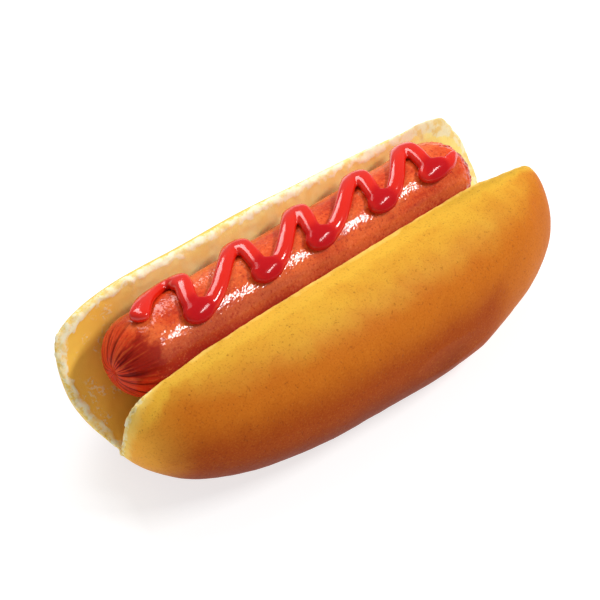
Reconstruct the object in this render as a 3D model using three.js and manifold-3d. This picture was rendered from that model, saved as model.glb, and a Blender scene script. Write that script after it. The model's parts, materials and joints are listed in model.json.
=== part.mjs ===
// A hot dog: a soft bun cut open along its top, a cooked sausage lying in the cut, and ketchup
// piped over the sausage in waves. Millimetres, +X along the sausage, +Z up. The bun stands on
// z = 0 with the origin under the middle of its box, and its half towards -Y is the thicker one.
import * as THREE from "three";
import { mergeVertices } from "three/addons/utils/BufferGeometryUtils.js";
import Module from "manifold-3d";

const wasm = await Module();
wasm.setup();

// Driving dimensions. The sausage's axis runs over the line y = 0 until all is centred at the end.
const bunLength = 153;
const sausageLength = 127;
const sausageRadius = 11.5;
const sausageHeight = 34; // its axis above the table
const sausageShift = -4; // it lies this far off the bun's middle
const touchGap = 0.3; // between pieces that lie on each other

// The bun's crust across its length, at the middle: [y, z] from the far rim over the far side, the
// flat underside and the near side to the near rim. The last point bridges the cut.
const crustOutline = [
  [15, 46],
  [21, 38],
  [27.5, 30],
  [31.5, 21],
  [31.5, 12],
  [26.5, 3.5],
  [15, -1],
  [-6, -1.5],
  [-24, -1],
  [-34.5, 3.5],
  [-40, 11.5],
  [-41, 20],
  [-37.5, 30],
  [-30, 37.8],
  [-21, 41.2],
  [-14, 40.8],
  [0, 44],
];
const crustSides = 60;
const crustRings = 36;

// How the crust draws in towards both ends. A bluntness of 2 closes like an ellipse, and more is
// squarer. It is given for the underside, the middle of a side and the rim.
const closingHeight = 30; // the ends close on a point at this level
const nearBluntness = { under: 3.4, side: 4.6, rim: 5.8 };
const farBluntness = { under: 2.4, side: 3.2, rim: 8.2 };
const sideTaper = 0.22;
const topTaper = 0.04;
const lean = 0.02; // the near side is fuller at its right end, the far side at its left
const yaw = 0.024; // the crust turns this much to the sausage

// The cut between the two halves, from the near rim down to the hinge and up to the far rim.
const cutOutline = [
  [-24, 62],
  [-16.5, 44],
  [-13.8, 39.8],
  [-13, 34],
  [-12, 26],
  [-9.5, 18],
  [-5, 13.5],
  [0.5, 16.5],
  [7, 24],
  [11.5, 34],
  [12.9, 43],
  [15.2, 47],
  [26, 62],
];
const cutMiddle = 50; // a level inside the cut's outline, where its flat ends meet

// The sausage's ends are puckered: folds run to the tip, which is drawn in.
const foldCount = 20;
const foldDepth = 0.45;
const foldReach = 9; // from the tip
const tipDepth = 1.2;
const tipRadius = 4;
const capRings = 9;
const bodyRings = 12;

// The ketchup's line lies on the sausage's skin. It swings over the top from far bends down to pools
// on the near side and slants back up. Both are given in mm along the sausage. Points of a stroke
// are [share of the way along, mm over the top towards +Y], and those of the first and the last
// stroke are [mm along, mm over the top].
const waves = [
  { bend: -36.5, pool: -39.4 },
  { bend: -15.3, pool: -15.4 },
  { bend: 6.2, pool: 3.8 },
  { bend: 28.2, pool: 27 },
  { bend: 47.2, pool: 47 },
];
const downStroke = [
  [0, 5.8],
  [0.14, 3.8],
  [0.5, 0.6],
  [0.85, -2.6],
  [1, -5.4],
];
const upStroke = [
  [0.02, -6.8],
  [0.15, -6.2],
  [0.29, -4.7],
  [0.47, -1.8],
  [0.66, 1.9],
  [0.84, 5],
  [0.97, 6],
];
const firstStroke = [
  [-54.4, 0.8],
  [-51, 2.8],
  [-46.4, 5.2],
  [-41.4, 6.9],
  [-37, 6],
];
const lastStroke = [
  [48.5, -6.8],
  [52.4, -6.2],
  [56, -4.7],
];
const downEnd = 1.8; // a down stroke ends this far before its pool's middle
const beadWidth = 4.5;
const beadHeight = 3.4;
const beadSink = 0.6; // the bead's middle lies this far under its half height
const beadSides = 8;
const beadStep = 1.9;
const beadEndRings = 2;
const poolSize = [4.7, 3.7, 2.1]; // half its length, width and height
const poolOver = -6.4;
const poolSides = 16;
const poolRings = 10;

// A closed skin over rings of points that run towards +X. A ring of one point is a pole. Seen from
// +X, each ring turns from +Y to +Z.
function skin(rings) {
  const positions = [];
  const starts = [];
  for (const ring of rings) {
    starts.push(positions.length / 3);
    for (const p of ring) positions.push(p.x, p.y, p.z);
  }
  const faces = [];
  for (let i = 0; i + 1 < rings.length; i++) {
    const [a, b] = [starts[i], starts[i + 1]];
    const [na, nb] = [rings[i].length, rings[i + 1].length];
    const sides = Math.max(na, nb);
    for (let j = 0; j < sides; j++) {
      const next = (j + 1) % sides;
      if (na === 1) faces.push(a, b + next, b + j);
      else if (nb === 1) faces.push(a + j, a + next, b);
      else faces.push(a + j, a + next, b + next, a + j, b + next, b + j);
    }
  }
  return new THREE.BufferGeometry()
    .setAttribute("position", new THREE.Float32BufferAttribute(positions, 3))
    .setIndex(faces);
}

function toSolid(geometry) {
  const bare = geometry.clone();
  bare.deleteAttribute("normal");
  bare.deleteAttribute("uv");
  const merged = mergeVertices(bare, 1e-4);
  return new wasm.Manifold(
    new wasm.Mesh({
      numProp: 3,
      vertProperties: new Float32Array(merged.attributes.position.array),
      triVerts: new Uint32Array(merged.index.array),
    }),
  );
}

function toGeometry(solid) {
  const mesh = solid.getMesh();
  return new THREE.BufferGeometry()
    .setAttribute("position", new THREE.BufferAttribute(mesh.vertProperties, 3))
    .setIndex(new THREE.BufferAttribute(mesh.triVerts, 1));
}

// The bluntness in a direction whose vertical share is up, from -1 to 1.
function bluntnessAt({ under, side, rim }, up) {
  const growth = Math.log2((rim - under) / (side - under));
  return under + (side - under) * Math.pow(1 + up, growth);
}

// The uncut bun: its outline at the middle, drawn in towards both ends, where its rings are close.
function loaf() {
  const corners = [...crustOutline].reverse().map(([y, z]) => new THREE.Vector3(0, y, z));
  const round = new THREE.CatmullRomCurve3(corners, true, "centripetal");
  const outline = round.getSpacedPoints(crustSides);
  outline.pop();
  const rings = [];
  for (let i = 0; i <= crustRings; i++) {
    const t = (2 * i) / crustRings - 1;
    const u = Math.sign(t) * (1 - Math.pow(1 - Math.abs(t), 2));
    const x = (u * bunLength) / 2;
    if (i === 0 || i === crustRings) {
      rings.push([new THREE.Vector3(x, -yaw * x, closingHeight)]);
      continue;
    }
    rings.push(
      outline.map((p) => {
        const reach = Math.hypot(p.y, p.z - closingHeight);
        const side = p.y / reach;
        const up = (p.z - closingHeight) / reach;
        const near = bluntnessAt(nearBluntness, up);
        const bluntness = THREE.MathUtils.lerp(near, bluntnessAt(farBluntness, up), (1 + side) / 2);
        const closing = Math.pow(1 - Math.pow(Math.abs(u), bluntness), 1 / bluntness);
        const taper = 1 - u * u * (sideTaper * side * side + topTaper * up * up);
        const r = reach * closing * taper * (1 - lean * u * side);
        return new THREE.Vector3(x, side * r - yaw * x, Math.max(0, closingHeight + up * r));
      }),
    );
  }
  return toSolid(skin(rings));
}

// The cut is open at both ends of the bun and along its top.
function cut() {
  const ring = (x) => cutOutline.map(([y, z]) => new THREE.Vector3(x, y, z));
  const middle = (x) => [new THREE.Vector3(x, 0, cutMiddle)];
  return toSolid(skin([middle(-bunLength), ring(-bunLength), ring(bunLength), middle(bunLength)]));
}

// The sausage's radius at a place along it, from -1 to 1 of its half length.
function sausageProfile(x, radius, half) {
  const past = Math.max(0, Math.abs(x) - (half - radius));
  return Math.sqrt(Math.max(0, radius * radius - past * past));
}

// The sausage with its folds, or the plain room that it takes, thicker by grow all over.
function sausageSkin(grow) {
  const radius = sausageRadius + grow;
  const half = sausageLength / 2 + grow;
  const folded = grow === 0;
  const cap = (i) => half - radius * (1 - Math.cos((Math.PI * i) / 2 / capRings));
  const places = [];
  for (let i = 0; i <= capRings; i++) places.push(-cap(i));
  for (let i = 1; i < bodyRings; i++) places.push((half - radius) * (-1 + (2 * i) / bodyRings));
  for (let i = capRings; i >= 0; i--) places.push(cap(i));
  const rings = places.map((x) => {
    const r = sausageProfile(x, radius, half);
    const fromTip = half - Math.abs(x);
    const fold = folded ? foldDepth * Math.max(0, 1 - fromTip / foldReach) : 0;
    const drawn = folded ? tipDepth * Math.max(0, 1 - r / tipRadius) ** 2 : 0;
    const at = x - Math.sign(x) * drawn;
    if (r < 1e-6) return [new THREE.Vector3(at, 0, sausageHeight)];
    return Array.from({ length: 2 * foldCount }, (_, j) => {
      const turn = (Math.PI * j) / foldCount;
      const out = r - (j % 2) * Math.min(fold, r / tipRadius);
      return new THREE.Vector3(at, out * Math.cos(turn), sausageHeight + out * Math.sin(turn));
    });
  });
  return toSolid(skin(rings).translate(sausageShift, 0, 0));
}

// A place on the sausage's skin, lifted off it: mm along, mm over the top towards +Y, and mm out.
function onSausage(along, over, lift) {
  const r = sausageProfile(along, sausageRadius, sausageLength / 2);
  const tilt = over / sausageRadius;
  const out = new THREE.Vector3(0, Math.sin(tilt), Math.cos(tilt));
  const place = out.clone().multiplyScalar(r + lift);
  return { place: place.add(new THREE.Vector3(sausageShift + along, 0, sausageHeight)), out };
}

// One stroke of the bead with round ends. Its points are [mm along, mm over the top].
function stroke(points) {
  const corners = points.map(([along, over]) => new THREE.Vector3(along, over, 0));
  const line = new THREE.CatmullRomCurve3(corners, false, "centripetal");
  const steps = Math.round(line.getLength() / beadStep);
  const lift = beadHeight / 2 - beadSink;
  const centres = line.getSpacedPoints(steps).map((p) => onSausage(p.x, p.y, lift));
  const ring = (i, past) => {
    const { place, out } = centres[i];
    const ahead = centres[Math.min(steps, i + 1)].place;
    const behind = centres[Math.max(0, i - 1)].place;
    const along = ahead.clone().sub(behind).normalize();
    const side = new THREE.Vector3().crossVectors(along, out).normalize();
    const middle = place.clone().addScaledVector(along, (beadWidth / 2) * Math.sin(past));
    if (Math.abs(past) === Math.PI / 2) return [middle];
    return Array.from({ length: beadSides }, (_, j) => {
      const turn = (-2 * Math.PI * j) / beadSides;
      return middle
        .clone()
        .addScaledVector(out, (beadHeight / 2) * Math.cos(past) * Math.sin(turn))
        .addScaledVector(side, (beadWidth / 2) * Math.cos(past) * Math.cos(turn));
    });
  };
  const rings = centres.map((_, i) => ring(i, 0));
  for (let i = 1; i <= beadEndRings; i++) {
    const past = (Math.PI / 2) * (i / beadEndRings);
    rings.unshift(ring(0, -past));
    rings.push(ring(steps, past));
  }
  return toSolid(skin(rings));
}

function ketchup() {
  const between = (from, to, shares) =>
    shares.map(([share, over]) => [THREE.MathUtils.lerp(from, to, share), over]);
  let solid = stroke(firstStroke).add(stroke(lastStroke));
  waves.forEach(({ bend, pool }, i) => {
    solid = solid.add(stroke(between(bend, pool - downEnd, downStroke)));
    if (i + 1 < waves.length) {
      solid = solid.add(stroke(between(pool, waves[i + 1].bend, upStroke)));
    }
  });
  for (const wave of waves) {
    const { place, out } = onSausage(wave.pool, poolOver, poolSize[2] - beadSink);
    const pool = new THREE.SphereGeometry(1, poolSides, poolRings).scale(...poolSize);
    pool.rotateX(-Math.atan2(out.y, out.z)).translate(place.x, place.y, place.z);
    solid = solid.add(toSolid(pool));
  }
  return solid;
}

function piece(name, solid, colour, roughness) {
  const mesh = new THREE.Mesh(
    toGeometry(solid),
    new THREE.MeshStandardMaterial({ color: colour, roughness, metalness: 0 }),
  );
  mesh.name = name;
  return mesh;
}

const sausageRoom = sausageSkin(touchGap);
const hotDog = new THREE.Group();
hotDog.add(piece("bun", loaf().subtract(cut()).subtract(sausageRoom), 0xe0a040, 0.8));
hotDog.add(piece("sausage", sausageSkin(0), 0xd0502a, 0.4));
hotDog.add(piece("ketchup", ketchup().subtract(sausageRoom), 0xc81818, 0.2));

const box = new THREE.Box3().setFromObject(hotDog);
hotDog.position.set(-(box.min.x + box.max.x) / 2, -(box.min.y + box.max.y) / 2, 0);

export default hotDog;
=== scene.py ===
import json
import math

import bpy
import numpy as np
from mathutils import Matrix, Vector, kdtree, noise

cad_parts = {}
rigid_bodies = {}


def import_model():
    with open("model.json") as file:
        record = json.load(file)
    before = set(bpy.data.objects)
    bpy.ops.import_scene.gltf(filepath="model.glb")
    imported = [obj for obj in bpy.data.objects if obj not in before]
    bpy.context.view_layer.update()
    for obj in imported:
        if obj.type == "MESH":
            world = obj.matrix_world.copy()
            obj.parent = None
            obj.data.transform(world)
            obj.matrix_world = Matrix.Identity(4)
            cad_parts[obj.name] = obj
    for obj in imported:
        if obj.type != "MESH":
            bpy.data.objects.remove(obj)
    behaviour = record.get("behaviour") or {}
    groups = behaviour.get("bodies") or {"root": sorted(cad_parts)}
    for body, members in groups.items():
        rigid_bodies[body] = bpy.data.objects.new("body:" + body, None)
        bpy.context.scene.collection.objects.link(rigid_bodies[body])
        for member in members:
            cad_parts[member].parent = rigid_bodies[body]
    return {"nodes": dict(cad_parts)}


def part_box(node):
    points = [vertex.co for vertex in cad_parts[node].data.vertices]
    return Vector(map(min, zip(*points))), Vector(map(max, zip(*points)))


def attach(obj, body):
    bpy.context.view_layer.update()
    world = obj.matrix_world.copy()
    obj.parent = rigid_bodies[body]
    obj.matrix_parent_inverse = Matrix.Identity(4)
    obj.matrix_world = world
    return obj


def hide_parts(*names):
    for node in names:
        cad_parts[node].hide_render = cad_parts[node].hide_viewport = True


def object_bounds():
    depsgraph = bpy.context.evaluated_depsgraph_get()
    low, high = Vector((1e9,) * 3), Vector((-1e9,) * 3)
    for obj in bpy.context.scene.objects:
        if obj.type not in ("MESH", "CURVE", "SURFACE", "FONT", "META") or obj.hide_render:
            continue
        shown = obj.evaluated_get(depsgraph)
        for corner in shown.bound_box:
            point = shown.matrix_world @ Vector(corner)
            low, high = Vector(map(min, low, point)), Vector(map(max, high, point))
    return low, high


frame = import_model()  # a hot dog lying along X, its near half towards -Y, metres
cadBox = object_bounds()
mm = 0.001


# selecting and finishing

def deselectAll():
    for thing in bpy.context.view_layer.objects:
        thing.select_set(False)


def pick(thing):
    deselectAll()
    thing.select_set(True)
    bpy.context.view_layer.objects.active = thing
    return thing


def finishWith(piece, kind, **settings):  # adds a modifier and applies it
    pick(piece)
    modifier = piece.modifiers.new(kind.title(), kind)
    for name, value in settings.items():
        setattr(modifier, name, value)
    bpy.ops.object.modifier_apply(modifier=modifier.name)


def roughen(piece, name, size, depth, relief, level, group=""):  # lumps of this size, in and out
    texture = bpy.data.textures.new(name, "CLOUDS")
    texture.noise_scale = size
    texture.noise_depth = depth
    finishWith(piece, "DISPLACE", texture=texture, strength=relief, mid_level=level,
               vertex_group=group)


def freeze(piece):  # place, turn and size go into the mesh
    pick(piece)
    bpy.ops.object.transform_apply(location=True, rotation=True, scale=True)


def smoothShade(piece):
    pick(piece)
    bpy.ops.object.shade_smooth()


def fixNormals(piece):
    pick(piece)
    bpy.ops.object.mode_set(mode="EDIT")
    bpy.ops.mesh.select_all(action="SELECT")
    bpy.ops.mesh.normals_make_consistent(inside=False)
    bpy.ops.object.mode_set(mode="OBJECT")


def copyOfNode(node, name):  # a CAD node's triangles, welded into one mesh
    copy = frame["nodes"][node].copy()
    copy.data = copy.data.copy()
    copy.name = copy.data.name = name
    copy.parent = None
    for key in [key for key in copy.keys() if key.startswith("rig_")]:
        del copy[key]
    bpy.context.scene.collection.objects.link(copy)
    pick(copy)
    bpy.ops.object.mode_set(mode="EDIT")
    bpy.ops.mesh.select_all(action="SELECT")
    bpy.ops.mesh.remove_doubles(threshold=0.01 * mm)
    bpy.ops.mesh.normals_make_consistent(inside=False)
    bpy.ops.object.mode_set(mode="OBJECT")
    copy.data.materials.clear()
    return copy


def setGroup(piece, name, weights):
    leastWeight = 0.004  # less than this moves nothing that shows
    group = piece.vertex_groups.new(name=name)
    for index, weight in enumerate(weights):
        if weight > leastWeight:
            group.add([index], float(weight), "REPLACE")


def corners(piece):
    places = np.zeros(len(piece.data.vertices) * 3, np.float32)
    piece.data.vertices.foreach_get("co", places)
    return places.reshape(-1, 3).astype(float)


def setCorners(piece, places):
    piece.data.vertices.foreach_set("co", places.ravel())
    piece.data.update()


def fade(values, low, high):  # 0 at low, 1 at high, eased
    t = np.clip((values - low) / (high - low), 0, 1)
    return t * t * (3 - 2 * t)


def paint(piece, name, values):  # an attribute for the material
    layer = piece.data.attributes.new(name, "FLOAT", "POINT")
    layer.data.foreach_set("value", values.astype(np.float32))


# materials

class Nodes:  # a material and short ways of wiring it
    def __init__(self, name):
        self.material = bpy.data.materials.new(name)
        self.material.use_nodes = True
        self.tree = self.material.node_tree
        self.shader = self.tree.nodes["Principled BSDF"]
        self.place = self.add("ShaderNodeTexCoord").outputs["Object"]
        self.bumps = None

    def add(self, kind, **settings):
        node = self.tree.nodes.new(kind)
        for name, value in settings.items():
            setattr(node, name, value)
        return node

    def wire(self, source, socket):
        if hasattr(source, "is_output"):
            self.tree.links.new(source, socket)
        else:
            socket.default_value = source

    def noise(self, size, detail=3.0, roughness=0.55, stretch=None):
        node = self.add("ShaderNodeTexNoise")
        node.inputs["Scale"].default_value = 1 / size
        node.inputs["Detail"].default_value = detail
        node.inputs["Roughness"].default_value = roughness
        place = self.place
        if stretch:
            mapping = self.add("ShaderNodeMapping")
            mapping.inputs["Scale"].default_value = stretch
            self.wire(place, mapping.inputs["Vector"])
            place = mapping.outputs["Vector"]
        self.wire(place, node.inputs["Vector"])
        return node.outputs["Fac"]

    def along(self, axis):  # "X", "Y" or "Z", metres
        node = self.add("ShaderNodeSeparateXYZ")
        self.wire(self.place, node.inputs[0])
        return node.outputs[axis]

    def layer(self, name):
        return self.add("ShaderNodeAttribute", attribute_name=name).outputs["Fac"]

    def sum(self, first, second):
        return self.maths("ADD", first, second)

    def times(self, first, second):
        return self.maths("MULTIPLY", first, second)

    def maths(self, operation, first, second=0.0, third=0.0):
        node = self.add("ShaderNodeMath", operation=operation)
        for value, socket in zip((first, second, third), node.inputs):
            self.wire(value, socket)
        return node.outputs[0]

    def span(self, value, low, high, toLow=0.0, toHigh=1.0):
        node = self.add("ShaderNodeMapRange", interpolation_type="SMOOTHSTEP")
        names = ("Value", "From Min", "From Max", "To Min", "To Max")
        for name, item in zip(names, (value, low, high, toLow, toHigh)):
            self.wire(item, node.inputs[name])
        return node.outputs["Result"]

    def ramp(self, value, stops):  # stops are (place, colour)
        node = self.add("ShaderNodeValToRGB")
        ramp = node.color_ramp
        ramp.interpolation = "EASE"
        for index, (place, colour) in enumerate(stops):
            stop = ramp.elements[index] if index < 2 else ramp.elements.new(place)
            stop.position = place
            stop.color = (*colour, 1)
        self.wire(value, node.inputs["Fac"])
        return node.outputs["Color"]

    def mix(self, share, first, second, blend="MIX"):
        node = self.add("ShaderNodeMix", data_type="RGBA", blend_type=blend)
        for item, index in ((share, 0), (first, 6), (second, 7)):
            if not hasattr(item, "is_output") and index > 0:
                item = (*item, 1)
            self.wire(item, node.inputs[index])
        return node.outputs[2]

    def bump(self, height, distance, strength=1.0):
        node = self.add("ShaderNodeBump")
        node.inputs["Distance"].default_value = distance
        self.wire(strength, node.inputs["Strength"])
        self.wire(height, node.inputs["Height"])
        if self.bumps:
            self.wire(self.bumps, node.inputs["Normal"])
        self.bumps = node.outputs["Normal"]
        self.wire(self.bumps, self.shader.inputs["Normal"])

    def set(self, **sockets):
        for name, value in sockets.items():
            self.wire(value, self.shader.inputs[name.replace("_", " ")])


def linearLight(seen):  # from 0 to 255 as seen
    share = seen / 255
    return share / 12.92 if share < 0.04045 else ((share + 0.055) / 1.055) ** 2.4


def coloursOf(values):
    return {name: tuple(linearLight(seen) for seen in colour)
            for name, colour in values["colours"].items()}


# the bun

bunValues = {
    "voxel": 0.74 * mm,
    "smoothing": 16,
    "swell": (0.5 * mm, 0.38 * mm),  # out before the remesh, so that thin edges hold, and back
    # the cut between the halves across the bun, mm, near rim to hinge to far rim
    "cut": [(-16.5, 44), (-13.8, 39.8), (-13, 34), (-12, 26), (-9.5, 18), (-5, 13.5),
            (0.5, 16.5), (7, 24), (11.5, 34), (12.9, 43), (15.2, 47)],
    "wallSkin": 1.3 * mm,  # what is nearer to the cut than this is its wall
    "wallEdge": (-0.4 * mm, 1.2 * mm),  # the crust turns into wall over this, from the rim
    "hinge": (-2 * mm, 4 * mm),  # the near half turns into the far one over this
    "rims": (16 * mm, 36 * mm),  # heights from which the rims' moves start and are full
    "belowRims": (8 * mm, 25 * mm),  # heights over which the low move fades
    # places along the bun where a move starts and where it is full, or where it ends
    "farLeft": (-26 * mm, -62 * mm),
    "farRight": (48 * mm, 64 * mm),
    "farMiddle": (-14 * mm, 14 * mm),
    "farMiddleEnd": (44 * mm, 58 * mm),
    "nearRight": (50 * mm, 68 * mm),
    "nearLow": (-8 * mm, 18 * mm),
    "nearLowEnd": (28 * mm, 48 * mm),
    # the far rim's corners stand out a little, its middle and the near one's right end are lower
    "farLeftMove": Vector((-1.1, 1.8, 0.4)) * mm,
    "farRightMove": Vector((1.4, 0.4, 1.8)) * mm,
    "farMiddleMove": Vector((0, -0.2, -0.7)) * mm,
    "nearRightMove": Vector((0, 0, -1.2)) * mm,
    "nearLowMove": Vector((0.3, -1.4, 0)) * mm,  # the near half is full below, right of its middle
    "ends": (48 * mm, 60 * mm),  # from the middle, either way
    "endReach": 5 * mm,  # the rims' ends are smoothed this far from the rim
    "endSmoothing": 64,
    "tear": (-73 * mm, -62 * mm),  # the near half's left end is torn up to here
    "tornReach": 1.2 * mm,
    "torn": (1.3 * mm, 2.8 * mm),  # size and height of its lumps
    "nearWrap": 3 * mm,  # the near half's crust reaches this far over its rim
    "leftWrap": -1.3 * mm,  # and this far at its torn left end
    "ragged": [(2.6 * mm, 1.1 * mm), (1.1 * mm, 0.6 * mm)],  # size and reach of the rim's crumbs
    "ridge": (2.1 * mm, 0.55 * mm, 0.5 * mm),  # from the far rim, width and rise
    "ridgeShare": 0.45,  # of its full rise, away from the left end
    "leftRidge": (-30 * mm, -58 * mm),
    "rightCorner": (38 * mm, 54 * mm),  # smoother than the rest of the rim
    "cornerSmooth": 0.8,
    "crumbEdge": (2 * mm, 5 * mm),  # from the rim, where the rim's crumbs fade
    "wallStart": (0.3 * mm, 2 * mm),
    "crustStart": (0.5 * mm, 6 * mm),
    # size and height of the lumps on each
    "crumb": (1.5 * mm, 0.5 * mm),
    "wall": (2.55 * mm, 0.4 * mm),
    "crustSwell": (17 * mm, 0.7 * mm),
    "crustWrinkle": (2.6 * mm, 0.1 * mm),
    "colours": {
        "rimCrust": (230, 176, 56),
        "sideCrust": (202, 111, 26),
        "lowCrust": (163, 69, 10),
        "underCrust": (130, 46, 2),
        "speckle": (228, 160, 66),
        "leftCrust": (255, 184, 64),
        "pore": (120, 48, 16),
        "crumb": (255, 249, 214),
        "warmCrumb": (250, 212, 108),
        "toasted": (255, 248, 176),
        "deepToast": (255, 234, 146),
        "leftToast": (255, 206, 88),
    },
    # how pale the crust is, from 0 underneath to 1 at the rims; partly the crust's own baking, partly
    # painted light up top and painted shade low down
    "browningAndPaintedShade": [(0.05, "underCrust"), (1, "rimCrust"), (0.4, "lowCrust"), (0.76, "sideCrust")],
    "heights": (0, 48 * mm),
    # each goes from and to, by mm off the rim, metres along the bun, how pale it is or a noise's
    # value, with its share at each end where it isn't 0 and 1
    "rimPaler": (-8, -1, -0.1, 0.24),
    # the right end's lower crust is painted paler, a painted light from the right
    "rightPaintedLight": (0, 54 * mm, 0, 0.62),
    "topDuller": (0.75, 1.05),
    "rightDuller": (10 * mm, 60 * mm),
    "dullCrust": (0.76, 0.78, 0.76),  # multiplies the crust's colour there
    "leftPaler": (-60 * mm, -74 * mm, 0, 0.8),
    "leftWander": 6 * mm,  # how far the mottle shifts the edge of the paler left end
    "darkSpeckles": (0.52, 0.72, 0, 0.3),
    "paleSpeckles": (0.46, 0.3, 0, 0.12),
    "crustEdge": (-3.2, -0.4, 0, 0.8),
    "deepPatches": (0.35, 0.65),
    "warmWall": (8, 4, 0, 0.4),
    "lip": (0.3, 0.9, 1, 0),
    "lipGrain": (0.4, 0.6, 0.5, 1),
    "warmPatches": (0.43, 0.63, 0.05, 0.75),
    "rightCrumb": (36 * mm, 56 * mm),
    "dullCrumb": (0.92, 0.89, 0.84),  # multiplies the crumb's colour there
    "leftWall": (-44 * mm, -62 * mm),
    "bandEdge": (2.4, 3),  # where the pale crumb ends
    "crumbStart": (-0.3, 0.1),
    "pores": (0.63, 0.72),
    "poreShare": 0.28,
    # crumbs stuck to the left end's wall, in clusters
    "clusters": (0.55, 0.65),
    "clusterCrumbs": (0.5, 0.58),
    "crumbShare": 0.45,
    # how large each pattern is
    "mottle": (11 * mm, 0.18),  # and its share
    "speckleSize": 0.5 * mm,
    "poreSize": 0.9 * mm,
    "crumbGrain": 0.75 * mm,
    "rimGrain": 0.7 * mm,
    "toastPatch": 6 * mm,
    "warmPatch": 3 * mm,
    "clusterSize": 5 * mm,
    "clusterCrumb": 0.9 * mm,
    "roughness": (-0.5, 0.4, 0.5, 0.85),  # from and to, mm off the rim; crust, crumb
    "shine": 0.06,
    "glow": (0.06, 1.2 * mm, (1, 0.55, 0.25)),  # share and depth of light in the bread, by colour
    "bumps": {"fine": (0.5 * mm, 0.1 * mm), "broad": (1.6 * mm, 0.12 * mm),
              "pores": -0.08 * mm, "crumbs": 0.15 * mm},
    "bumpEdge": (-0.3, 0.3),
}


def distanceToCut(places, sausageAxis):
    outline = np.array(bunValues["cut"]) * mm + (sausageAxis, 0)
    points = places[:, 1:3]
    nearest = np.full(len(points), 1.0)
    for start, end in zip(outline, outline[1:]):
        along = end - start
        share = np.clip((points - start) @ along / (along @ along), 0, 1)
        gap = np.linalg.norm(points - start - share[:, None] * along, axis=1)
        nearest = np.minimum(nearest, gap)
    return nearest


def markRim(bun):  # how far each place is from the rim: below 0 on the crust, above 0 on the wall
    low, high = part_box("sausage")
    places = corners(bun)
    fromCut = distanceToCut(places, (low.y + high.y) / 2)
    skin = bunValues["wallSkin"]
    crust = np.nonzero(fromCut > skin)[0]
    tree = kdtree.KDTree(len(crust))
    for index in crust:
        tree.insert(places[index], int(index))
    tree.balance()
    fromRim = skin / 2 - fromCut
    for index in np.nonzero(fromCut <= skin)[0]:
        fromRim[index] = tree.find(places[index])[2]
    return fromRim


def inFarHalf(places):  # 0 in the near half, 1 in the far one
    return fade(places[:, 1], *bunValues["hinge"])


def easeCorners(bun):
    places = corners(bun)
    far = inFarHalf(places)
    near = 1 - far
    high = fade(places[:, 2], *bunValues["rims"])
    low = 1 - fade(places[:, 2], *bunValues["belowRims"])

    def reached(stretch):
        return fade(places[:, 0], *bunValues[stretch])

    shares = {
        "farLeftMove": far * high * reached("farLeft"),
        "farRightMove": far * high * reached("farRight"),
        "farMiddleMove": far * high * reached("farMiddle") * (1 - reached("farMiddleEnd")),
        "nearRightMove": near * high * reached("nearRight"),
        "nearLowMove": near * low * reached("nearLow") * (1 - reached("nearLowEnd")),
    }
    for name, share in shares.items():
        places += share[:, None] * np.array(bunValues[name])
    setCorners(bun, places)


def raggedness(places):  # how far the crumbs reach over the rim's line, either way
    reach = np.zeros(len(places))
    for size, most in bunValues["ragged"]:
        reach += [most * noise.noise(Vector(place / size)) for place in places]
    return reach


def shapeBun(bun):  # the CAD node, rounded and eased; returns how far each place is from the rim
    swellOut, swellBack = bunValues["swell"]
    finishWith(bun, "DISPLACE", strength=swellOut, mid_level=0)
    finishWith(bun, "REMESH", mode="VOXEL", voxel_size=bunValues["voxel"])
    finishWith(bun, "SMOOTH", factor=0.5, iterations=bunValues["smoothing"])
    finishWith(bun, "DISPLACE", strength=-swellBack, mid_level=0)
    fromRim = markRim(bun)
    easeCorners(bun)
    atEnds = fade(np.abs(corners(bun)[:, 0]), *bunValues["ends"])
    setGroup(bun, "ends", atEnds * np.exp(-(fromRim / bunValues["endReach"]) ** 2))
    finishWith(bun, "SMOOTH", factor=0.5, iterations=bunValues["endSmoothing"], vertex_group="ends")
    return fromRim


def dressBun(bun, fromRim):  # crumbs, ridge, torn end and crust, each in its own vertex group
    places = corners(bun)
    farHalf = inFarHalf(places)
    rightOfTear = fade(places[:, 0], *bunValues["tear"])
    wrap = bunValues["leftWrap"] + (bunValues["nearWrap"] - bunValues["leftWrap"]) * rightOfTear
    crumbLine = fromRim - (1 - farHalf) * wrap + raggedness(places)
    paint(bun, "fromRim", crumbLine / mm)
    onWall = fade(fromRim, *bunValues["wallEdge"])
    nearRim = onWall * (1 - fade(fromRim, *bunValues["crumbEdge"]))
    smoothNear = (1 - farHalf) * rightOfTear
    rightCorner = farHalf * fade(places[:, 0], *bunValues["rightCorner"])
    ridgeFrom, ridgeWidth, ridgeRise = bunValues["ridge"]
    ridgeShare = bunValues["ridgeShare"]
    leftEnd = fade(places[:, 0], *bunValues["leftRidge"])
    ridge = farHalf * (ridgeShare + (1 - ridgeShare) * leftEnd) * (1 - rightCorner)
    ridge *= np.exp(-((crumbLine - ridgeFrom) / ridgeWidth) ** 2)
    torn = (1 - farHalf) * (1 - rightOfTear) * np.exp(-(fromRim / bunValues["tornReach"]) ** 2)
    setGroup(bun, "crumb", nearRim * (1 - smoothNear) * (1 - bunValues["cornerSmooth"] * rightCorner))
    setGroup(bun, "wall", onWall * fade(fromRim, *bunValues["wallStart"]))
    setGroup(bun, "ridge", ridge)
    setGroup(bun, "torn", torn)
    setGroup(bun, "crust", (1 - onWall) * fade(-fromRim, *bunValues["crustStart"]))
    finishWith(bun, "DISPLACE", strength=ridgeRise, mid_level=0, vertex_group="ridge")
    for name, depth, level, group in (("torn", 2, 0.5, "torn"), ("crustSwell", 1, 0.6, "crust"),
                                      ("crustWrinkle", 2, 0.6, "crust"), ("crumb", 3, 0.55, "crumb"),
                                      ("wall", 3, 0.55, "wall")):
        size, relief = bunValues[name]
        roughen(bun, name, size, depth, relief, level, group)
    bun.vertex_groups.clear()
    setCorners(bun, np.clip(corners(bun), *cadBox))  # flat where it rests
    smoothShade(bun)


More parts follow.
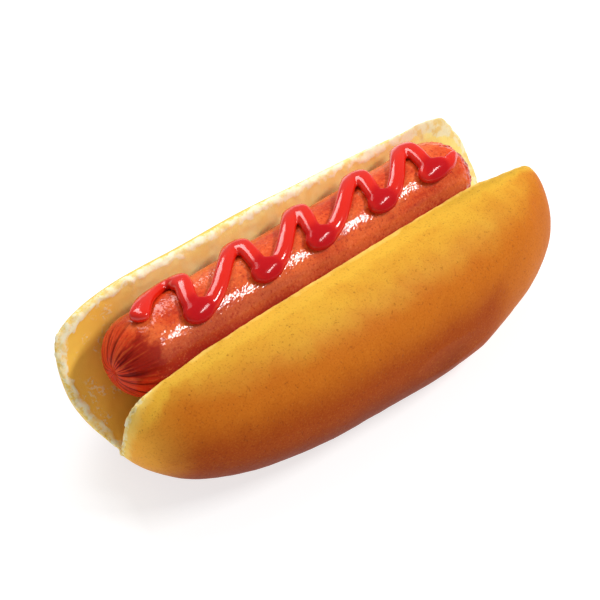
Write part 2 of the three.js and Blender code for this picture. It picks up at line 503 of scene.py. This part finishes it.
def makeBun():
    bun = copyOfNode("bun", "bunBaked")
    dressBun(bun, shapeBun(bun))
    bun.data.materials.append(breadMaterial())
    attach(bun, "root")
    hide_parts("bun")
    print("bun", len(bun.data.polygons), "faces")


def crustColour(made, colours, fromRim, pores):
    toRight = made.along("X")
    # paler with height: partly the baked colour, partly painted light from above and painted shade below
    level = made.span(made.along("Z"), *bunValues["heights"])
    level = made.sum(level, made.span(fromRim, *bunValues["rimPaler"]))
    # painted light: the crust's right end is raised to a paler colour low down
    level = made.maths("MAXIMUM", level, made.span(toRight, *bunValues["rightPaintedLight"]))
    mottleSize, mottleShare = bunValues["mottle"]
    mottle = made.noise(mottleSize, 4)
    uneven = made.maths("MULTIPLY_ADD", mottle, mottleShare, level)
    crust = made.ramp(uneven, [(place, colours[name]) for place, name in bunValues["browningAndPaintedShade"]])
    rightTop = made.times(made.span(toRight, *bunValues["rightDuller"]),
                          made.span(level, *bunValues["topDuller"]))
    crust = made.mix(rightTop, crust, bunValues["dullCrust"], "MULTIPLY")
    leftBand = made.maths("MULTIPLY_ADD", mottle, bunValues["leftWander"], toRight)
    crust = made.mix(made.span(leftBand, *bunValues["leftPaler"]), crust, colours["leftCrust"])
    speckle = made.noise(bunValues["speckleSize"], 2, 0.7)
    darkSpeckles = made.span(speckle, *bunValues["darkSpeckles"])
    crust = made.mix(darkSpeckles, crust, colours["lowCrust"], "MULTIPLY")
    crust = made.mix(made.span(speckle, *bunValues["paleSpeckles"]), crust, colours["speckle"])
    crust = made.mix(made.times(pores, bunValues["poreShare"]), crust, colours["pore"])
    return made.mix(made.span(fromRim, *bunValues["crustEdge"]), crust, colours["warmCrumb"])


def crumbColour(made, colours, raggedRim, lumps, leftEnd):
    patches = made.span(made.noise(bunValues["toastPatch"], 4), *bunValues["deepPatches"])
    toast = made.mix(patches, colours["toasted"], colours["deepToast"])
    toast = made.mix(made.span(raggedRim, *bunValues["warmWall"]), toast, colours["warmCrumb"])
    # the wall is more golden towards the left end
    toast = made.mix(leftEnd, toast, colours["leftToast"])
    toast = made.mix(made.times(lumps, bunValues["crumbShare"]), toast, colours["crumb"])
    # the lip outside the ridge is yellow, and wider at the left end
    lip = made.span(made.maths("SUBTRACT", raggedRim, leftEnd), *bunValues["lip"])
    grain = made.noise(bunValues["crumbGrain"], 3, 0.65)
    warm = made.times(lip, made.span(grain, *bunValues["lipGrain"]))
    warmPatches = made.span(made.noise(bunValues["warmPatch"], 3), *bunValues["warmPatches"])
    warm = made.maths("MAXIMUM", warm, warmPatches)
    crumb = made.mix(warm, colours["crumb"], colours["warmCrumb"])
    rightCorner = made.span(made.along("X"), *bunValues["rightCrumb"])
    crumb = made.mix(rightCorner, crumb, bunValues["dullCrumb"], "MULTIPLY")
    return made.mix(made.span(raggedRim, *bunValues["bandEdge"]), crumb, toast)


def stuckCrumbs(made, leftEnd):
    clusters = made.span(made.noise(bunValues["clusterSize"], 2, 0.5), *bunValues["clusters"])
    crumbs = made.span(made.noise(bunValues["clusterCrumb"], 2, 0.5), *bunValues["clusterCrumbs"])
    return made.times(made.times(clusters, leftEnd), crumbs)


def breadMaterial():
    made = Nodes("bread")
    colours = coloursOf(bunValues)
    fromRim = made.layer("fromRim")  # mm, below 0 on the crust
    fineRagged = made.maths("MULTIPLY_ADD", made.noise(bunValues["rimGrain"], 3, 0.65), 1, -0.5)
    raggedRim = made.sum(fromRim, fineRagged)
    pores = made.span(made.noise(bunValues["poreSize"], 2, 0.6), *bunValues["pores"])
    leftEnd = made.span(made.along("X"), *bunValues["leftWall"])
    lumps = stuckCrumbs(made, leftEnd)
    crust = crustColour(made, colours, fromRim, pores)
    inside = crumbColour(made, colours, raggedRim, lumps, leftEnd)
    glow, glowDepth, glowSpread = bunValues["glow"]
    made.set(Base_Color=made.mix(made.span(raggedRim, *bunValues["crumbStart"]), crust, inside),
             Roughness=made.span(raggedRim, *bunValues["roughness"]),
             Specular_IOR_Level=bunValues["shine"], Subsurface_Weight=glow,
             Subsurface_Scale=glowDepth, Subsurface_Radius=glowSpread)
    onCrumb = made.span(raggedRim, *bunValues["bumpEdge"])
    bumps = bunValues["bumps"]
    fineSize, fineHeight = bumps["fine"]
    broadSize, broadHeight = bumps["broad"]
    made.bump(made.noise(fineSize, 3, 0.6), fineHeight, 0.5)
    made.bump(made.noise(broadSize, 3), broadHeight, 0.35)
    made.bump(pores, bumps["pores"], made.maths("SUBTRACT", 1, onCrumb))
    made.bump(made.times(lumps, onCrumb), bumps["crumbs"], 0.5)
    return made.material


# the sausage

sausageValues = {
    "meridians": 120,
    "rings": 60,
    "bodyRings": 50,  # along its straight part
    "longFolds": (15, 10 * mm),  # how many, and how far from the tip
    "shortFolds": (41, 8 * mm),
    "shortShare": 0.4,
    "foldDepth": 0.06,  # share of the radius
    "dimple": (1.2 * mm, 4 * mm),  # depth and reach of the drawn-in tip
    "dentAndPaintedShade": (Vector((-58.9, -6.3, 6)) * mm, 7.6 * mm),  # sunken, with its dark colour painted shade, from the middle
    "patchDepth": 0.3 * mm,
    "streaks": (17, 11 * mm),  # how closely they run, and how far from the tip
    "streakLength": 4 * mm,
    "streakRise": 0.25,  # share of a fold's depth
    "rightEnd": (12 * mm, 4 * mm),  # its wrinkles start and are full this far from the tip
    # size and depth of each
    "rightWrinkle": (2.2 * mm, 0.9 * mm),
    "swell": (12 * mm, 0.25 * mm),
    "wrinkle": (1.4 * mm, 0.1 * mm),
    "colours": {
        "skin": (216, 74, 28),
        "orange": (234, 108, 52),
        "tan": (200, 94, 54),
        "dark": (168, 26, 20),
        "grain": (250, 150, 96),
        "tip": (244, 68, 36),
        # dark red painted into the folds' creases and grooves as shade, and on the right end
        "crease": (104, 12, 8),
        "dentAndPaintedShade": (158, 26, 20),
    },
    "blotchSize": 7 * mm,
    "fineSize": 0.75 * mm,
    "poreSize": 1.1 * mm,
    "patchStreak": 2.2 * mm,
    # each goes from and to, in metres or a noise's or layer's value, with its share or value at each
    # end where it isn't 0 and 1
    "blotches": (0.4, 0.65),
    "darkBlotches": (0.44, 0.32, 0, 0.5),
    "tanAndPaintedBounce": (9 * mm, 6.5 * mm, 0, 0.75),  # above the middle; partly the skin's tone, partly painted bounce light from the bun
    # the lower side's dark red is partly the skin's tone, partly painted shade from the bun's rim
    "darkAndPaintedShade": (6.5 * mm, 2 * mm, 0, 0.85),
    "sideWander": 4 * mm,  # how far the blotches shift the sides' edges
    "leftLower": (10 * mm, -30 * mm, 0, -2.5 * mm),  # the sides' colours reach higher on the left
    "darkFine": (0.52, 0.68, 0, 0.6),
    "grainFine": (0.46, 0.32, 0, 0.27),
    "pores": (0.66, 0.72, 0, 0.5),
    "redTips": (-10 * mm, -2 * mm, 0, 0.75),  # from the tip, as the next two
    "darkRight": (-7 * mm, -1.5 * mm, 0, 0.75),
    "shine": (-12 * mm, -5 * mm, 0.4, 0.06),
    "patchColour": (0.05, 0.45, 0, 0.85),
    "streakRidgePaintedLight": (0.1, 0.7, 0, 0.4),
    "streakGroovePaintedShade": (-0.1, -0.7, 0, 0.55),
    "creasePaintedShade": (0.15, 0.75, 0, 0.8),
    "roughness": (0.3, 0.7, 0.06, 0.18),
    "glow": (0.05, 1 * mm, (1, 0.3, 0.15)),
    # size, detail, roughness, height, strength
    "bumps": [(0.85 * mm, 1, 0.4, 0.1 * mm, 1), (1.6 * mm, 2, 0.5, 0.08 * mm, 0.6)],
}


def sausageShape():  # middle, radius, and half the length between the centres of its round ends
    low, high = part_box("sausage")
    radius = (high.z - low.z) / 2
    return (low + high) / 2, radius, (high.x - low.x) / 2 + sausageValues["dimple"][0] - radius


def selectVertices(piece, wanted):  # in object mode, by place
    for vertex in piece.data.vertices:
        vertex.select = wanted(vertex.co)
    for edge in piece.data.edges:
        edge.select = all(piece.data.vertices[index].select for index in edge.vertices)
    for face in piece.data.polygons:
        face.select = all(piece.data.vertices[index].select for index in face.vertices)


def foldsAt(turn, fromTip, kind, wander, sharpness):
    count, reach = sausageValues[kind]
    if kind == "longFolds":  # these end unevenly
        reach *= 0.75 + 0.25 * math.sin(3 * turn + 1)
    across = (0.5 + 0.5 * math.cos(count * turn + wander)) ** sharpness
    return across * max(0.0, 1 - fromTip / reach) ** 0.7


def creaseAt(turn, fromTip):  # 0 on smooth skin, 1 along the bottom of a fold
    wander = 1.7 * math.sin(2 * turn) + 0.8 * math.sin(5 * turn + 2)
    long = foldsAt(turn, fromTip, "longFolds", wander, 7)
    long *= 0.65 + 0.35 * math.sin(2 * turn + 4 * math.sin(turn))
    short = foldsAt(turn, fromTip, "shortFolds", 1.5 * math.sin(3 * turn + 1), 2)
    return min(1.0, long + sausageValues["shortShare"] * short)


def streakAt(turn, fromTip):  # fine lines running to the tip, -1 to 1
    closeness, reach = sausageValues["streaks"]
    around = Vector((math.cos(turn), math.sin(turn), 0)) * closeness
    around.z = fromTip / sausageValues["streakLength"]
    return 2 * noise.noise(around) * max(0.0, 1 - fromTip / reach)


def plainSausage():  # a sphere whose halves are pulled apart
    middle, radius, straight = sausageShape()
    deselectAll()
    bpy.ops.mesh.primitive_uv_sphere_add(
        segments=sausageValues["meridians"], ring_count=sausageValues["rings"], radius=radius,
        location=middle, rotation=(0, math.radians(90), 0))
    sausage = bpy.context.object
    sausage.name = sausage.data.name = "sausageCooked"
    freeze(sausage)
    for side in (-1, 1):
        selectVertices(sausage, lambda place: (place.x - middle.x) * side > 0.01 * mm)
        bpy.ops.object.mode_set(mode="EDIT")
        bpy.ops.mesh.select_mode(type="VERT")
        bpy.ops.transform.translate(value=(side * straight, 0, 0))
        bpy.ops.object.mode_set(mode="OBJECT")
    # the long stretches between the halves get rings
    bpy.ops.object.mode_set(mode="EDIT")
    bpy.ops.mesh.select_mode(type="EDGE")
    bpy.ops.mesh.select_all(action="DESELECT")
    bpy.ops.object.mode_set(mode="OBJECT")
    places = corners(sausage)
    for edge in sausage.data.edges:
        first, second = (places[index] for index in edge.vertices)
        edge.select = bool(abs(first[0] - second[0]) > straight / 4)
    bpy.ops.object.mode_set(mode="EDIT")
    bpy.ops.mesh.subdivide(number_cuts=sausageValues["bodyRings"])
    bpy.ops.object.mode_set(mode="OBJECT")
    finishWith(sausage, "SUBSURF", levels=1, render_levels=1)
    return sausage


def foldEnds(sausage):  # folds run to the tips, which are drawn in
    middle, radius, straight = sausageShape()
    tip = straight + radius
    foldDepth, dimple = sausageValues["foldDepth"], sausageValues["dimple"]
    patchMiddle, patchReach = sausageValues["dentAndPaintedShade"]
    wrinklesFrom, wrinklesFull = sausageValues["rightEnd"]
    creasePaintedShade, patches, streaks, rightEnd = [], [], [], []
    for vertex in sausage.data.vertices:
        place = vertex.co - middle
        out = Vector((0, place.y, place.z))
        side = 1 if place.x > 0 else -1
        turn = math.atan2(out.z, out.y) + side
        fromTip = tip - abs(place.x)
        crease = creaseAt(turn, fromTip)
        streak = streakAt(turn, fromTip)
        dentAndPaintedShade = max(0.0, 1 - (place - patchMiddle).length / patchReach)
        wrinkled = (place.x - tip + wrinklesFrom) / (wrinklesFrom - wrinklesFull)
        creasePaintedShade.append(crease)
        patches.append(dentAndPaintedShade)
        streaks.append(streak)
        rightEnd.append(min(1.0, max(0.0, wrinkled)))
        vertex.co -= out * foldDepth * (crease - sausageValues["streakRise"] * streak)
        vertex.co -= out.normalized() * sausageValues["patchDepth"] * dentAndPaintedShade
        vertex.co.x -= side * dimple[0] * max(0.0, 1 - out.length / dimple[1]) ** 2
    paint(sausage, "crease", np.array(creasePaintedShade))
    paint(sausage, "dentAndPaintedShade", np.array(patches))
    paint(sausage, "streak", np.array(streaks))
    setGroup(sausage, "rightEnd", rightEnd)


def makeSausage():
    sausage = plainSausage()
    foldEnds(sausage)
    size, relief = sausageValues["rightWrinkle"]
    roughen(sausage, "rightEnd", size, 2, relief, 0.65, "rightEnd")
    sausage.vertex_groups.clear()
    size, relief = sausageValues["swell"]
    roughen(sausage, "sausageSwell", size, 1, relief, 0.6)
    size, relief = sausageValues["wrinkle"]
    roughen(sausage, "sausageWrinkle", size, 3, relief, 0.6)
    fixNormals(sausage)
    smoothShade(sausage)
    sausage.data.materials.append(sausageMaterial())
    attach(sausage, "root")
    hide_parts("sausage")
    print("sausage", len(sausage.data.polygons), "faces")


def skinColour(made, colours, fine, middle):  # along the body
    blotch = made.noise(sausageValues["blotchSize"], 4, 0.6, (0.45, 1, 1))
    skin = made.mix(made.span(blotch, *sausageValues["blotches"]), colours["skin"], colours["orange"])
    skin = made.mix(made.span(blotch, *sausageValues["darkBlotches"]), skin, colours["dark"])
    # the sides are paler and the lower part darker, partly the skin's own tone and partly painted bounce
    # light and painted shade from the bun's rim, and more of it is on the left half
    level = made.maths("SUBTRACT", made.along("Z"), middle.z)
    level = made.maths("MULTIPLY_ADD", blotch, sausageValues["sideWander"], level)
    level = made.sum(level, made.span(made.along("X"), *sausageValues["leftLower"]))
    skin = made.mix(made.span(level, *sausageValues["tanAndPaintedBounce"]), skin, colours["tan"])
    skin = made.mix(made.span(level, *sausageValues["darkAndPaintedShade"]), skin, colours["dark"])
    skin = made.mix(made.span(fine, *sausageValues["darkFine"]), skin, colours["dark"])
    skin = made.mix(made.span(fine, *sausageValues["grainFine"]), skin, colours["grain"])
    pores = made.noise(sausageValues["poreSize"], 1, 0.5)
    return made.mix(made.span(pores, *sausageValues["pores"]), skin, colours["dark"])


def sausageMaterial():
    made = Nodes("sausageSkin")
    colours = coloursOf(sausageValues)
    middle, radius, straight = sausageShape()
    fine = made.noise(sausageValues["fineSize"], 3, 0.75)
    skin = skinColour(made, colours, fine, middle)
    # both tips are redder, the right one darker at its end
    toRight = made.maths("SUBTRACT", made.along("X"), middle.x)
    pastRight = made.maths("SUBTRACT", toRight, straight + radius)  # below 0 as far as the tip
    pastTip = made.maths("SUBTRACT", made.maths("ABSOLUTE", toRight), straight + radius)
    skin = made.mix(made.span(pastTip, *sausageValues["redTips"]), skin, colours["tip"])
    skin = made.mix(made.span(pastRight, *sausageValues["darkRight"]), skin, colours["crease"])
    # the dark patch by the left tip is painted shade over a shallow dent
    patchEdge = made.noise(sausageValues["patchStreak"], 3, 0.6, (0.4, 1, 1))
    dentAndPaintedShade = made.sum(made.layer("dentAndPaintedShade"), made.maths("MULTIPLY_ADD", patchEdge, 1.1, -0.55))
    skin = made.mix(made.span(dentAndPaintedShade, *sausageValues["patchColour"]), skin, colours["dentAndPaintedShade"])
    # the fine streaks are painted paler on their ridges and darker in their grooves, as painted light
    # and shade
    streak = made.layer("streak")
    skin = made.mix(made.span(streak, *sausageValues["streakRidgePaintedLight"]), skin, colours["orange"])
    skin = made.mix(made.span(streak, *sausageValues["streakGroovePaintedShade"]), skin, colours["crease"])
    # the bottoms of the folds are painted dark, a painted shade in the creases
    crease = made.layer("crease")
    skin = made.mix(made.span(crease, *sausageValues["creasePaintedShade"]), skin, colours["crease"])
    glow, glowDepth, glowSpread = sausageValues["glow"]
    made.set(Base_Color=skin, Roughness=made.span(fine, *sausageValues["roughness"]),
             Specular_IOR_Level=made.span(pastTip, *sausageValues["shine"]),
             Subsurface_Weight=glow, Subsurface_Scale=glowDepth, Subsurface_Radius=glowSpread)
    for size, detail, roughness, height, strength in sausageValues["bumps"]:
        made.bump(made.noise(size, detail, roughness), height, strength)
    return made.material


# the ketchup

ketchupValues = {
    "flat": 0.63,  # height of a stroke, as a share of its width
    "sink": 0.6 * mm,
    "softTop": (2.9 * mm, 0.5),  # above this the rise is scaled once more
    "voxel": 0.3 * mm,
    # far bend, pool, both mm along the sausage from its middle, half length of the pool
    "waves": [(-36, -39.8, 4.9), (-15.3, -16.4, 5.2), (6.4, 3.1, 5.2), (29, 26.2, 5.2), (47.7, 46.6, 6)],
    # share of the way along, mm over the top towards +Y, mm wide
    "down": [(0, 6.2, 5.8), (0.14, 3.8, 5.6), (0.5, 0.6, 5.2), (0.85, -2.6, 5.2), (1, -5.4, 5.2)],
    "up": [(0.13, -6.4, 4.9), (0.29, -4.7, 4.9), (0.47, -1.8, 4.8), (0.66, 1.9, 4.9), (0.83, 5, 5.4),
           (0.93, 7, 5.8)],
    # mm along, mm over the top, mm wide
    "first": [(-53.4, 0.9, 6.2), (-50.2, 3.7, 5.7), (-46.4, 6.4, 5.3), (-42.2, 8.4, 5.2),
              (-38.4, 8.8, 5.5)],
    "last": [(50.4, -6.9, 5), (53.8, -5.9, 4.2), (57, -4.6, 2.6)],
    "endBalls": [(40, 0.7), (0, 1)],  # turn and length: the first is nearly square, the last round
    "turning": (-1.2, -6.9, 5.2),  # the stroke's own way through a pool, from the pool's middle
    "pool": (3.7, 3.7, 2.22),  # mm: half across, half up, and its middle above the skin
    "poolOver": -6.1,
    "corner": (-1.6, 4.4, 2.6, 1.8),  # fills a bend: mm from it, over the top, radius, above the skin
    "smoothing": (24, 30),  # everywhere, then in the pools and bends
    "poolSmooth": 0.5,
    "broad": (2.4 * mm, 6.6 * mm),  # a pool's or bend's reach: full, and gone
    "colours": {"thin": (222, 32, 14), "thick": (188, 20, 26)},
    "unevenSize": 4 * mm,
    "roughness": 0.12,
    "shine": (0, 1, 0.5, 0.14),  # from and to, how thick it is; strokes, pools
    "glow": (0.08, 1.2 * mm, (1, 0.15, 0.1)),
    "bump": (1.2 * mm, 0.1 * mm, 0.35),  # size, height, strength
}


def onSausage(along, over, lift):  # along and over in mm, lift in metres
    middle, radius, straight = sausageShape()
    past = max(0.0, abs(along * mm) - straight)
    here = math.sqrt(max(0.0, radius ** 2 - past ** 2)) + lift
    tilt = over * mm / radius
    return middle + Vector((along * mm, here * math.sin(tilt), here * math.cos(tilt)))


def ketchupLine():  # (along, over, width) from the left end to the right
    line = list(ketchupValues["first"])
    waves = ketchupValues["waves"]
    before, turnOver, turnWidth = ketchupValues["turning"]
    for index, (bend, pool, _) in enumerate(waves):
        for share, over, width in ketchupValues["down"]:
            line.append((bend + share * (pool + before - bend), over, width))
        line.append((pool, turnOver, turnWidth))
        if index + 1 < len(waves):
            following = waves[index + 1][0]
            for share, over, width in ketchupValues["up"]:
                line.append((pool + share * (following - pool), over, width))
    return line + ketchupValues["last"]


def ketchupTube(line):
    deselectAll()
    bpy.ops.curve.primitive_nurbs_path_add()
    path = bpy.context.object
    path.name = path.data.name = "ketchupPiped"
    path.data.splines.clear()
    spline = path.data.splines.new("NURBS")
    spline.points.add(len(line) - 1)
    for point, (along, over, width) in zip(spline.points, line):
        lift = width / 2 * mm - ketchupValues["sink"]
        point.co = (*onSausage(along, over, lift), 1)
        point.radius = width / 2
    spline.order_u = 3
    spline.use_endpoint_u = True
    spline.resolution_u = 8
    path.data.bevel_depth = 1 * mm
    path.data.bevel_resolution = 6
    path.data.use_fill_caps = True
    pick(path)
    bpy.ops.object.convert(target="MESH")
    return bpy.context.object


def ketchupBall(place, radius, scale=(1, 1, 1), rotation=(0, 0, 0), segments=32):
    deselectAll()
    bpy.ops.mesh.primitive_uv_sphere_add(segments=segments, ring_count=segments // 2, radius=radius,
                                         location=place, scale=scale, rotation=rotation)
    return bpy.context.object


def ketchupBalls(line):  # rounded ends, pools at the near bends, and fuller corners at the far ones
    balls = []
    for (along, over, width), (turn, length) in zip((line[0], line[-1]), ketchupValues["endBalls"]):
        size = width / 2 * mm
        balls.append(ketchupBall(onSausage(along, over, size - ketchupValues["sink"]), size,
                                 scale=(length, 1, 1), rotation=(0, 0, math.radians(turn))))
    breadth, height, lift = ketchupValues["pool"]
    over = ketchupValues["poolOver"]
    tilt = over * mm / sausageShape()[1]
    for _, pool, length in ketchupValues["waves"]:
        balls.append(ketchupBall(onSausage(pool, over, lift * mm), 1 * mm,
                                 scale=(length, breadth, height), rotation=(-tilt, 0, 0), segments=48))
    shift, over, size, lift = ketchupValues["corner"]
    for bend, _, _ in ketchupValues["waves"]:
        balls.append(ketchupBall(onSausage(bend + shift, over, lift * mm), size * mm))
    return balls


def settle(ketchup):  # strokes lie flatter than they are wide: squeezed towards the skin
    middle, radius, straight = sausageShape()
    base = radius - ketchupValues["sink"]
    full, share = ketchupValues["softTop"]
    for vertex in ketchup.data.vertices:
        nearest = middle.copy()
        nearest.x += min(straight, max(-straight, vertex.co.x - middle.x))
        out = vertex.co - nearest
        rise = out.length - base
        if rise > 0:
            rise *= ketchupValues["flat"]
        if rise > full:
            rise = full + (rise - full) * share
        vertex.co = nearest + out.normalized() * (base + rise)


def nearAny(ketchup, spots):  # 1 at the spots, 0 away from them
    near = np.zeros(len(ketchup.data.vertices))
    for along, over in spots:
        gaps = np.linalg.norm(corners(ketchup) - onSausage(along, over, 1 * mm), axis=1)
        near = np.maximum(near, 1 - fade(gaps, *ketchupValues["broad"]))
    return near


def smoothKetchup(ketchup):  # all over, then once more where it is broad
    everywhere, whereBroad = ketchupValues["smoothing"]
    finishWith(ketchup, "SMOOTH", factor=0.5, iterations=everywhere)
    shift, over = ketchupValues["corner"][:2]
    waves = ketchupValues["waves"]
    inPool = nearAny(ketchup, [(pool, ketchupValues["poolOver"]) for _, pool, _ in waves])
    inBend = nearAny(ketchup, [(bend + shift, over) for bend, _, _ in waves])
    paint(ketchup, "inPool", inPool)
    setGroup(ketchup, "broad", np.maximum(ketchupValues["poolSmooth"] * inPool, inBend))
    finishWith(ketchup, "SMOOTH", factor=0.5, iterations=whereBroad, vertex_group="broad")
    ketchup.vertex_groups.clear()


def makeKetchup():
    line = ketchupLine()
    ketchup = ketchupTube(line)
    balls = ketchupBalls(line)
    pick(ketchup)
    for ball in balls:
        ball.select_set(True)
    bpy.ops.object.join()
    freeze(ketchup)
    finishWith(ketchup, "REMESH", mode="VOXEL", voxel_size=ketchupValues["voxel"])
    settle(ketchup)
    smoothKetchup(ketchup)
    smoothShade(ketchup)
    ketchup.data.materials.append(ketchupMaterial())
    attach(ketchup, "root")
    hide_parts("ketchup")
    print("ketchup", len(ketchup.data.polygons), "faces")


def ketchupMaterial():
    made = Nodes("ketchup")
    colours = coloursOf(ketchupValues)
    uneven = made.maths("MULTIPLY_ADD", made.noise(ketchupValues["unevenSize"], 2), 0.4, -0.2)
    thick = made.span(made.sum(made.layer("inPool"), uneven), 0, 1)
    glow, glowDepth, glowSpread = ketchupValues["glow"]
    made.set(Base_Color=made.mix(thick, colours["thin"], colours["thick"]),
             Roughness=ketchupValues["roughness"],
             Specular_IOR_Level=made.span(thick, *ketchupValues["shine"]),
             Subsurface_Weight=glow, Subsurface_Scale=glowDepth, Subsurface_Radius=glowSpread)
    size, height, strength = ketchupValues["bump"]
    made.bump(made.noise(size, 2), height, strength)
    return made.material


# the studio

studioValues = {
    "azimuth": math.radians(-43.26),
    "elevation": math.radians(41),
    "target": Vector((-9.42, -2.28, 28)) * mm,
    "distance": 485.1 * mm,
    "lens": 108,  # mm, on a 36 mm wide sensor
    # direction, distance, width and height, in metres, and watts
    "behind": (Vector((0.2, 0.6, 0.77)), 0.7, (0.24, 0.7), 3.4),  # the streaks on the ketchup
    "frontRight": (Vector((0.517, -0.43, 0.741)), 1.1, (0.46, 0.1), 7.6),  # those on the sausage
    "floorSize": 8,
    "floorGrey": 0.4,
    "floorGlow": 0.72,
    "roomLight": 0.32,
}


def makeCamera():
    turn, tilt = studioValues["azimuth"], studioValues["elevation"]
    back = Vector((math.sin(turn) * math.cos(tilt), -math.cos(turn) * math.cos(tilt), math.sin(tilt)))
    bpy.ops.object.camera_add(location=studioValues["target"] + back * studioValues["distance"])
    camera = bpy.context.object
    camera.rotation_mode = "QUATERNION"
    camera.rotation_quaternion = (-back).to_track_quat("-Z", "Y")
    camera.data.lens = studioValues["lens"]
    camera.data.sensor_width = 36
    camera.data.clip_start = 0.01
    bpy.context.scene.camera = camera
    print("camera")


def softbox(name):
    direction, distance, size, power = studioValues[name]
    place = studioValues["target"] + direction.normalized() * distance
    bpy.ops.object.light_add(type="AREA", location=place)
    lamp = bpy.context.object
    lamp.name = name
    lamp.rotation_mode = "QUATERNION"
    lamp.rotation_quaternion = direction.to_track_quat("Z", "Y")
    lamp.data.shape = "RECTANGLE"
    lamp.data.size, lamp.data.size_y = size
    lamp.data.energy = power


def makeStudio():
    deselectAll()
    bpy.ops.mesh.primitive_plane_add(size=studioValues["floorSize"])
    floor = bpy.context.object
    floor.name = "floor"
    paper = Nodes("floorWhite")
    grey = studioValues["floorGrey"]
    paper.set(Base_Color=(grey, grey, grey, 1), Roughness=0.8,
              Emission_Strength=studioValues["floorGlow"], Emission_Color=(1, 1, 1, 1))
    floor.data.materials.append(paper.material)
    softbox("behind")
    softbox("frontRight")
    world = bpy.data.worlds.new("studio")
    bpy.context.scene.world = world
    world.use_nodes = True
    background = world.node_tree.nodes["Background"]
    background.inputs["Color"].default_value = (1, 1, 1, 1)
    background.inputs["Strength"].default_value = studioValues["roomLight"]
    bpy.context.scene.view_settings.view_transform = "Standard"
    print("studio")


makeBun()
makeSausage()
makeKetchup()
makeStudio()
makeCamera()
